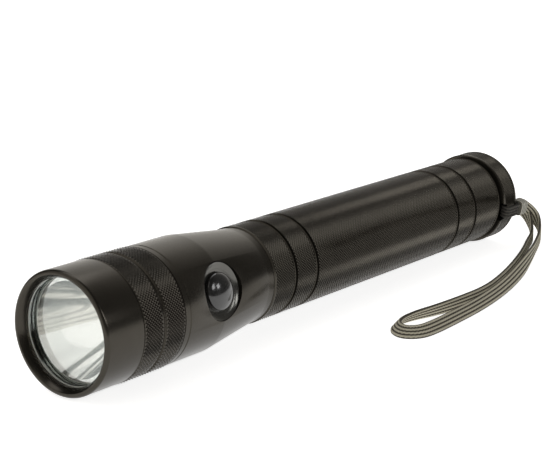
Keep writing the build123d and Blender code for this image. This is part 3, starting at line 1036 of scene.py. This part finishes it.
    def sleeve(self) -> Piece:
        """Make the sewn keeper round both legs."""
        start, end, distance = (number * MM for number in self.keeper)
        deep, tall, corner = 4.4 * MM, 5.2 * MM, 1.2 * MM
        outline: Outline = []
        quarters = ((1, 1, 0), (-1, 1, 90), (-1, -1, 180), (1, -1, 270))
        for sign_out, sign_side, angle in quarters:
            centre = (sign_out * (deep / 2 - corner), sign_side * (tall / 2 - corner))
            outline += arc(centre, corner, angle, angle + 90, 5)
        place_at = AXIS.spoke_matrix((start + end) / 2, self.angle)
        line = [place_at @ Vector((distance + out, 0, side)) for out, side in outline]
        dense = closed_line(line)
        across = [AXIS.forward()] * len(dense)
        wrap = Ribbon(end - start, 0.6 * MM).mesh("keeper_wrap", dense, across, True)
        Bench.clear()
        bpy.ops.mesh.primitive_cube_add(size=1.0)
        core = bpy.context.object
        core.scale = (deep - 0.5 * MM, end - start - 0.3 * MM, tall - 0.5 * MM)
        bpy.ops.object.transform_apply(location=True, rotation=True, scale=True)
        Bench.apply(core, "BEVEL", width=0.9 * MM, segments=3)
        core.data.uv_layers.active.name = "weave"
        Bench.finish(core, place_at @ Matrix.Translation((distance, 0, 0)))
        wrap.name = wrap.data.name = "lanyard_sleeve"
        return Bench.join([wrap, core])

    def build(self) -> None:
        """Make the lanyard."""
        strap, line, length = self.strap()
        mount(strap, Finish.BRAID, "tail_end", "lanyard_strap")
        band = self.band()
        # the band wears the braid copy with painted shade
        mount(band, Finish.PAINTED_SHADE_BRAID, "tail_end", "lanyard_anchor")
        sleeve = self.sleeve()
        # the keeper wears the braid copy with painted light
        mount(sleeve, Finish.PAINTED_LIGHT_BRAID, "tail_end", "lanyard_keeper")


# ---- head
@dataclass
class Head:
    """The screw-on bezel with its rounded front, and the reflector behind the lens.

    Attributes:
        radius: Smooth outside radius.
        band_radius: Radius at the tips of its knurled bands.
        bands: Stations of the two knurled bands.
        length: Station of its rear edge.
        steps: Facets round.
    """

    radius: float = 18.2 * MM
    band_radius: float = 18.5 * MM
    bands: tuple[Pair, ...] = ((15.0, 22.5), (23.9, 31.7))
    length: float = 34.07 * MM
    steps: int = 208

    def bezel(self) -> Piece:
        """Turn the bezel."""
        zones = [Knurl(a * MM, b * MM, self.band_radius, 0.36 * MM, 0.56 * MM) for a, b in self.bands]
        low, inner, lip = 17.8 * MM, 16.3 * MM, 15.5 * MM
        outline = mm((2.3, 15.5), (2.2, 15.52), (0.2, 16.6), (0.04, 16.78), (0.0, 16.95))
        outline += arc((1.1 * MM, 17.1 * MM), 1.1 * MM, 180, 90, 10)
        outline += [(14.45 * MM, self.radius), (14.62 * MM, low), (14.8 * MM, low)]
        for index, zone in enumerate(zones):
            outline += zone.outline()
            if index == 0:
                outline += mm((22.65, 17.8), (22.8, 17.6), (23.6, 17.6), (23.75, 17.8))
        outline += [(31.85 * MM, low), (32.0 * MM, self.radius), (self.length - 0.25 * MM, self.radius)]
        outline += [(self.length, self.radius - 0.25 * MM), (self.length, inner)]
        outline += [(3.2 * MM, inner), (3.2 * MM, lip)]
        piece = Bench.turn("bezel_ring", outline, self.steps)
        for zone in zones:
            zone.raise_tips(piece, self.steps)
        return Bench.finish(piece, AXIS.lathe_matrix(), 28)

    def mirror(self) -> Piece:
        """Turn the reflector: its bowl, rim flange and back."""
        front, depth, opening, hole, count = 5.13, 19.2, 14.0, 3.8, 32
        focus = (opening**2 - hole**2) / (4 * depth)
        bowl = []
        for step in range(count + 1):
            radius = opening + (hole - opening) * step / count
            bowl.append(((front + (opening**2 - radius**2) / (4 * focus)) * MM, radius * MM))
        back = [(station + 0.6 * MM, radius + 0.9 * MM) for station, radius in reversed(bowl[4:])]
        seat, edge = front * MM + 1.4 * MM, 15.8 * MM
        rim = [(seat, 14.9 * MM), (seat, edge), (front * MM, edge)]
        piece = Bench.turn("reflector_bowl", [*bowl, *back, *rim], 192)
        return Bench.finish(piece, AXIS.lathe_matrix(), 40)

    def build(self) -> None:
        """Make the head's own pieces."""
        mount(self.bezel(), Finish.BLACK, "head", "bezel")
        mount(self.mirror(), Finish.MIRROR, "reflector_carrier", "reflector")


# ---- switch housing
@dataclass
class SwitchHousing:
    """The smooth waisted housing, with its dished switch recess, ring and domed button.

    Attributes:
        radius: Outside radius of its front.
        neck: Outside radius behind its cone.
        station: Station of the switch.
        angle: Place of the switch round the light.
        recess: Radius of the recess.
        floor: Distance of the recess's floor from the beam axis.
        button: Radius of the button.
        top: Distance of the button's top from the beam axis.
    """

    radius: float = 18.2 * MM
    neck: float = 15.2 * MM
    station: float = 50.0 * MM
    angle: float = 76.5
    recess: float = 8.8 * MM
    floor: float = 14.3 * MM
    button: float = 5.7 * MM
    top: float = 18.1 * MM

    def shell(self) -> Piece:
        """Turn the housing and cut its recess."""
        edge = 0.3 * MM
        outline = mm((24.5, 14.0), (24.5, 16.0), (24.8, 16.22), (34.1, 16.22))
        outline += [(34.1 * MM, self.radius - edge), (34.1 * MM + edge, self.radius)]
        outline += [(49.7 * MM, self.radius), (50.3 * MM, self.radius - 0.04 * MM)]
        outline += [(73.6 * MM, self.neck + 0.06 * MM), (74.3 * MM, self.neck)]
        outline += [(76.4 * MM, self.neck), (76.67 * MM, self.neck - 0.25 * MM)]
        outline += mm((76.67, 14.23), (67.7, 14.23), (67.7, 13.4), (36.1, 13.4), (36.1, 14.0))
        piece = Bench.turn("housing_shell", outline, 192)
        Bench.finish(piece, AXIS.lathe_matrix())
        depth = self.floor + 0.02 * MM
        cutter_outline = [
            (-13.0 * MM, 0.0),
            (-13.0 * MM, 6.9 * MM),
            (-depth, 6.9 * MM),
            (-depth, self.recess - 0.5 * MM),
            (-depth - 0.25 * MM, self.recess - 0.12 * MM),
            (-depth - 0.7 * MM, self.recess),
            (-20.0 * MM, self.recess),
            (-20.0 * MM, 0.0),
        ]
        cutter = Bench.turn("recess_cutter", cutter_outline, 96)
        Bench.finish(cutter, AXIS.spoke_matrix(self.station, self.angle))
        Bench.cut(piece, cutter)
        sharp = {"limit_method": "ANGLE", "angle_limit": math.radians(35)}
        Bench.apply(piece, "BEVEL", width=0.22 * MM, segments=2, **sharp)
        Bench.take(piece)
        bpy.ops.object.shade_smooth_by_angle(angle=math.radians(30))
        return piece

    def turned_about_switch(self, name: str, outline: Outline) -> Piece:
        """Turn (distance from the beam axis, radius) points about the switch's line."""
        turned = [(-distance, radius) for distance, radius in outline]
        piece = Bench.turn(name, turned, 96)
        return Bench.finish(piece, AXIS.spoke_matrix(self.station, self.angle), 35)

    def ring(self) -> Piece:
        """Make the dished ring round the button."""
        outer, inner = self.recess - 0.25 * MM, self.button + 0.12 * MM
        outline = [
            (self.floor + 0.03 * MM, outer),
            (self.floor + 0.03 * MM, 6.9 * MM),
            (self.floor + 0.86 * MM, 6.9 * MM),
            (self.floor + 0.86 * MM, inner),
            (self.floor + 0.92 * MM, inner + 0.3 * MM),
            (self.floor + 0.94 * MM, inner + 0.9 * MM),
            (self.floor + 1.02 * MM, inner + 1.5 * MM),
            (self.floor + 1.2 * MM, inner + 2.0 * MM),
            (self.floor + 1.45 * MM, outer - 0.2 * MM),
            (self.floor + 1.6 * MM, outer),
        ]
        return self.turned_about_switch("switch_trim_ring", outline)

    def cap(self) -> Piece:
        """Make the domed button."""
        crown = 2.3 * MM
        foot = self.floor + 0.03 * MM
        outline = [
            (foot - 2.3 * MM, 0.0),
            (foot - 2.3 * MM, 3.8 * MM),
            (foot, 3.8 * MM),
            (foot, 6.8 * MM),
            (foot + 0.8 * MM, 6.8 * MM),
            (foot + 0.8 * MM, self.button),
        ]
        count = 14
        for step in range(count + 1):
            turn = math.radians(90 * step / count)
            height = self.top - crown + crown * math.sin(turn)
            outline.append((height, self.button * math.cos(turn)))
        return self.turned_about_switch("button_dome", outline)

    def build(self) -> None:
        """Make the housing and its switch."""
        mount(self.shell(), Finish.BLACK, "barrel", "switch_housing")
        mount(self.ring(), Finish.RING, "barrel", "switch_retaining_ring")
        mount(self.cap(), Finish.SWITCH, "button", "switch_button")


# ---- barrel
@dataclass
class Barrel:
    """The knurled battery tube.

    Attributes:
        radius: Radius at the diamonds' tips.
        start: Station of its front edge.
        end: Station of its rear edge.
        grooves: Stations of the grooves between its knurled zones.
        groove_half: Half the width of a groove.
        steps: Facets round.
    """

    radius: float = 15.6 * MM
    start: float = 76.7 * MM
    end: float = 213.1 * MM
    grooves: tuple[float, ...] = (87.6, 98.8, 183.6, 195.5)
    groove_half: float = 0.55 * MM
    steps: int = 196

    def zones(self) -> list[Knurl]:
        """The knurled zones between the edges and the grooves."""
        rim, half = 0.2 * MM, self.groove_half
        fronts = [self.start + 0.75 * MM, *(groove * MM + half + rim for groove in self.grooves)]
        backs = [*(groove * MM - half - rim for groove in self.grooves), self.end - 1.15 * MM]
        return [Knurl(front, back, self.radius) for front, back in zip(fronts, backs)]

    def tube(self) -> Piece:
        """Turn the tube."""
        low, bottom = self.radius - 0.38 * MM, self.radius - 0.75 * MM
        outline = [*mm((67.73, 13.4), (67.73, 14.2)), (self.start, 14.2 * MM)]
        outline += [(self.start, self.radius - 0.5 * MM), (self.start + 0.3 * MM, self.radius - 0.05 * MM)]
        outline += [(self.start + 0.6 * MM, self.radius - 0.05 * MM)]
        zones = self.zones()
        for index, zone in enumerate(zones):
            outline += zone.outline()
            if index < len(self.grooves):
                middle, half = self.grooves[index] * MM, self.groove_half
                outline += [(middle - half - 0.05 * MM, self.radius - 0.08 * MM), (middle - half, low)]
                outline += [(middle - half + 0.1 * MM, bottom), (middle + half - 0.1 * MM, bottom)]
                outline += [(middle + half, low), (middle + half + 0.05 * MM, self.radius - 0.08 * MM)]
        outline += [(self.end - 1.0 * MM, self.radius), (self.end, self.radius - 1.0 * MM), (self.end, 14.3 * MM)]
        outline += [(self.end - 8.4 * MM, 14.3 * MM), (self.end - 8.4 * MM, 13.4 * MM)]
        piece = Bench.turn("knurled_tube", outline, self.steps)
        for zone in zones:
            zone.raise_tips(piece, self.steps)
        return Bench.finish(piece, AXIS.lathe_matrix(), 26)

    def build(self) -> None:
        """Make the tube."""
        mount(self.tube(), Finish.BLACK_KNURL, "barrel", "battery_tube")


# ---- tail
@dataclass
class TailCap:
    """The screw plug with its knurled flange and lanyard hole.

    Attributes:
        radius: Radius of the flange.
        front: Station of the flange's front face.
        back: Station of its rear face.
        angle: Place of the lanyard hole round it.
        notch: Radius of the hole's mouth.
        hole: Height of the hole and its half width.
        hole_radius: Distance of the hole's middle from the beam axis.
        steps: Facets round.
    """

    radius: float = 16.5 * MM
    front: float = 214.4 * MM
    back: float = 223.6 * MM
    angle: float = 102.0
    notch: float = 3.4 * MM
    hole: Pair = (1.9 * MM, 2.8 * MM)
    hole_radius: float = 14.5 * MM
    steps: int = 208

    def cap(self) -> Piece:
        """Turn the cap and cut its hole."""
        knurl = Knurl(self.front + 0.8 * MM, self.back - 1.3 * MM, self.radius)
        outline = mm((206.0, 12.32), (206.0, 14.0), (206.2, 14.22))
        outline += [(self.front, 14.22 * MM), (self.front, self.radius - 0.35 * MM)]
        outline += [(self.front + 0.35 * MM, self.radius), (self.front + 0.65 * MM, self.radius)]
        outline += knurl.outline()
        outline += [(self.back - 1.15 * MM, self.radius)]
        outline += arc((self.back - 1.0 * MM, self.radius - 1.0 * MM), 1.0 * MM, 90, 0, 6)
        outline += [(self.back, 12.6 * MM), (self.back - 0.4 * MM, 12.2 * MM), (self.back - 0.4 * MM, 0.0)]
        outline += mm((213.0, 0.0), (213.0, 12.32))
        piece = Bench.turn("tail_plug", outline, self.steps)
        knurl.raise_tips(piece, self.steps)
        Bench.finish(piece, AXIS.lathe_matrix(), 28)
        top = 20.0 * MM
        reach = self.hole_radius - self.hole[0] / 2
        mouth_outline = [(-reach, 0.0), (-reach, self.notch), (-top, self.notch), (-top, 0.0)]
        mouth = Bench.turn("mouth_cutter", mouth_outline, 48)
        Bench.finish(mouth, AXIS.spoke_matrix(self.front, self.angle))
        Bench.cut(piece, mouth)
        Bench.clear()
        bpy.ops.mesh.primitive_cube_add(size=1.0)
        slot = bpy.context.object
        slot.scale = (self.hole[0], 12.0 * MM, 2 * self.hole[1])
        bpy.ops.object.transform_apply(location=True, rotation=True, scale=True)
        Bench.apply(slot, "BEVEL", width=0.5 * MM, segments=3)
        spoke = AXIS.spoke_matrix(self.front + 6.0 * MM, self.angle)
        Bench.finish(slot, spoke @ Matrix.Translation((self.hole_radius, 0, 0)))
        Bench.cut(piece, slot)
        Bench.take(piece)
        bpy.ops.object.shade_smooth_by_angle(angle=math.radians(28))
        return piece

    def build(self) -> None:
        """Make the tail cap."""
        mount(self.cap(), Finish.BLACK_KNURL, "tail_end", "tail_cap")


# ---- what the CAD gives
@dataclass(frozen=True)
class InnerWorks:
    """The pieces whose CAD shape is right, with their finishes."""

    finishes: tuple[tuple[Finish, str], ...] = (
        (Finish.LENS, "lens"),
        (Finish.GASKET, "lens_gasket"),
        (Finish.RUBBER, "head_seal tail_seal"),
        (Finish.PHOSPHOR, "led_package"),
        (Finish.WHITE_BOARD, "led_board"),
        (Finish.BARE, "heat_sink heat_sink_ring"),
        (Finish.GREEN_BOARD, "driver_board"),
        (Finish.BRASS, "bus_rod front_contact tail_contact"),
        (Finish.ACETAL, "switch_plunger"),
        (Finish.NYLON, "switch_module switch_carrier"),
        (Finish.WIRE, "front_spring tail_spring"),
        (Finish.CELL, "battery_cell_1 battery_cell_2"),
    )

    def build(self) -> None:
        """Give each carried-over node its finish."""
        for finish, nodes in self.finishes:
            for node in nodes.split():
                piece = frame["nodes"][node]
                if not piece.material_slots:
                    piece.data.materials.append(finish.material())
                for material_slot in piece.material_slots:
                    material_slot.material = finish.material()
                LOG.info("%s finished as %s", node, finish.value.name)


def main() -> None:
    """Build the studio, then the light from its lanyard inwards."""
    logging.basicConfig(level=logging.INFO, format="%(name)s: %(message)s")
    Studio().build()
    Lanyard().build()
    for assembly in (Head(), SwitchHousing(), Barrel(), TailCap(), InnerWorks()):
        assembly.build()
        LOG.info("%s is built", type(assembly).__name__)
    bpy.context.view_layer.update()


if __name__ == "__main__":
    main()
